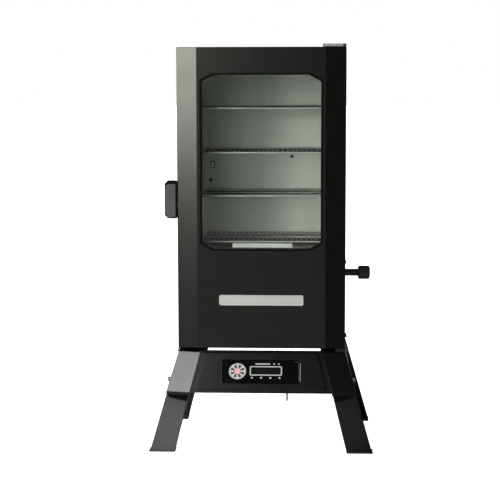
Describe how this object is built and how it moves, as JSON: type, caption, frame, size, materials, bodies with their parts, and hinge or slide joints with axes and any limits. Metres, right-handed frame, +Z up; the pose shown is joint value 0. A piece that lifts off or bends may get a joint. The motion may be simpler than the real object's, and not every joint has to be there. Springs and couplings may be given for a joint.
{
  "type": "electric cabinet smoker",
  "caption": "Tall insulated smoking cabinet on a splayed stand, with a hinged window door, sliding wire racks, a side chip loader and a sloping control panel.",
  "frame": {"origin": "on the floor, under the middle of the stand's overall box", "axes": "+X to the right seen from the front, +Y towards the back, +Z up"},
  "size_m": [0.679, 0.494, 1.2295],
  "materials": {
    "cabinet_paint": "satin black enamel",
    "dark_paint": "matt black enamel",
    "stand_paint": "satin black powder coat",
    "panel_paint": "semi-gloss black",
    "stainless": "brushed, slightly warm",
    "pressed_steel": "bright pressed sheet",
    "wool": "glass wool",
    "chrome_wire": "polished wire",
    "element_sheath": "oxidised sheath",
    "zinc_steel": "zinc plated",
    "latch_paint": "satin dark grey",
    "pane": "clear heat-resistant glass",
    "seal_rubber": "matt",
    "bush_bronze": "sintered bronze",
    "badge_aluminium": "satin, blank",
    "gloss_black": "gloss black",
    "matte_black": "fine grain",
    "display_glass": "smoked window",
    "dial_grey": "satin",
    "button_red": "satin red",
    "damper_paint": "satin black"
  },
  "bodies": {
    "cabinet": {"side_panel_left": "cabinet_paint", "side_panel_right": "cabinet_paint", "top_panel": "cabinet_paint", "back_panel": "cabinet_paint", "bottom_panel": "cabinet_paint", "front_frame": "cabinet_paint", "liner_left": "stainless", "liner_right": "stainless", "liner_top": "stainless", "liner_floor": "stainless", "liner_back": "stainless", "cabinet_insulation": "wool", "rack_ladder_left": "pressed_steel", "rack_ladder_right": "pressed_steel", "lower_shelf": "pressed_steel", "heating_element": "element_sheath", "chip_tray": "pressed_steel", "water_bowl": "pressed_steel", "loader_housing": "pressed_steel", "wall_sensors": "chrome_wire", "base_rail_left": "stand_paint", "base_rail_right": "stand_paint", "front_bracket_left": "stand_paint", "front_bracket_right": "stand_paint", "leg_front_left": "stand_paint", "leg_front_right": "stand_paint", "leg_rear_left": "stand_paint", "leg_rear_right": "stand_paint", "foot_pads": "seal_rubber", "leg_bolts": "zinc_steel", "control_panel": "panel_paint", "controller_fascia": "gloss_black", "controller_housing": "matte_black", "display_window": "display_glass", "panel_peg": "matte_black", "hinge_brackets": "zinc_steel", "latch_mount": "zinc_steel", "cord_gland": "seal_rubber", "cabinet_screws": "zinc_steel"},
    "door": {"door_shell": "cabinet_paint", "door_liner": "dark_paint", "door_insulation": "wool", "window_outer": "pane", "window_inner": "pane", "window_trim": "dark_paint", "door_gasket": "seal_rubber", "hinge_bushes": "bush_bronze", "badge": "badge_aluminium"},
    "latch": {"latch_lever": "latch_paint"},
    "top_rack": {"rack_1": "chrome_wire"},
    "upper_rack": {"rack_2": "chrome_wire"},
    "lower_rack": {"rack_3": "chrome_wire"},
    "bottom_rack": {"rack_4": "chrome_wire"},
    "pan": {"drip_pan": "pressed_steel"},
    "loader_carriage": {"loader_collar": "matte_black"},
    "loader_handle": {"chip_scoop": "pressed_steel"},
    "dial": {"control_dial": "dial_grey"},
    "power_key": {"power_button": "button_red"},
    "damper": {"vent_damper": "damper_paint"},
    "grease_drawer": {"grease_tray": "pressed_steel"}
  },
  "joints": [
    {"name": "door_hinge", "type": "hinge", "parent": "cabinet", "child": "door", "pos_m": [0.243, -0.152, 0.7645], "axis": [0, 0, 1], "range_deg": [0, 110]},
    {"name": "latch_swing", "type": "hinge", "parent": "cabinet", "child": "latch", "pos_m": [-0.275, -0.099, 0.763], "axis": [0, 0, -1], "range_deg": [-4, 30]},
    {"name": "rack_1_slide", "type": "slide", "parent": "cabinet", "child": "top_rack", "axis": [0, -1, 0], "range_m": [0, 0.035]},
    {"name": "rack_2_slide", "type": "slide", "parent": "cabinet", "child": "upper_rack", "axis": [0, -1, 0], "range_m": [0, 0.035]},
    {"name": "rack_3_slide", "type": "slide", "parent": "cabinet", "child": "lower_rack", "axis": [0, -1, 0], "range_m": [0, 0.035]},
    {"name": "rack_4_slide", "type": "slide", "parent": "cabinet", "child": "bottom_rack", "axis": [0, -1, 0], "range_m": [0, 0.035]},
    {"name": "pan_slide", "type": "slide", "parent": "cabinet", "child": "pan", "axis": [0, -1, 0], "range_m": [0, 0.035]},
    {"name": "loader_slide", "type": "slide", "parent": "cabinet", "child": "loader_carriage", "axis": [1, 0, 0], "range_m": [0, 0.16]},
    {"name": "loader_turn", "type": "hinge", "parent": "loader_carriage", "child": "loader_handle", "pos_m": [0.245, 0.048, 0.515], "axis": [1, 0, 0], "range_deg": [0, 180]},
    {"name": "dial_turn", "type": "hinge", "parent": "cabinet", "child": "dial", "pos_m": [-0.071, -0.20634, 0.24372], "axis": [0, -0.8192, 0.5735], "continuous": true},
    {"name": "power_press", "type": "slide", "parent": "cabinet", "child": "power_key", "axis": [0, 0.8192, -0.5735], "range_m": [0, 0.0015], "stiffness_N_per_m": 400},
    {"name": "damper_turn", "type": "hinge", "parent": "cabinet", "child": "damper", "pos_m": [0, 0.125, 1.222], "axis": [0, 0, 1], "range_deg": [0, 45]},
    {"name": "grease_tray_slide", "type": "slide", "parent": "cabinet", "child": "grease_drawer", "axis": [0, 1, 0], "range_m": [0, 0.12]}
  ]
}
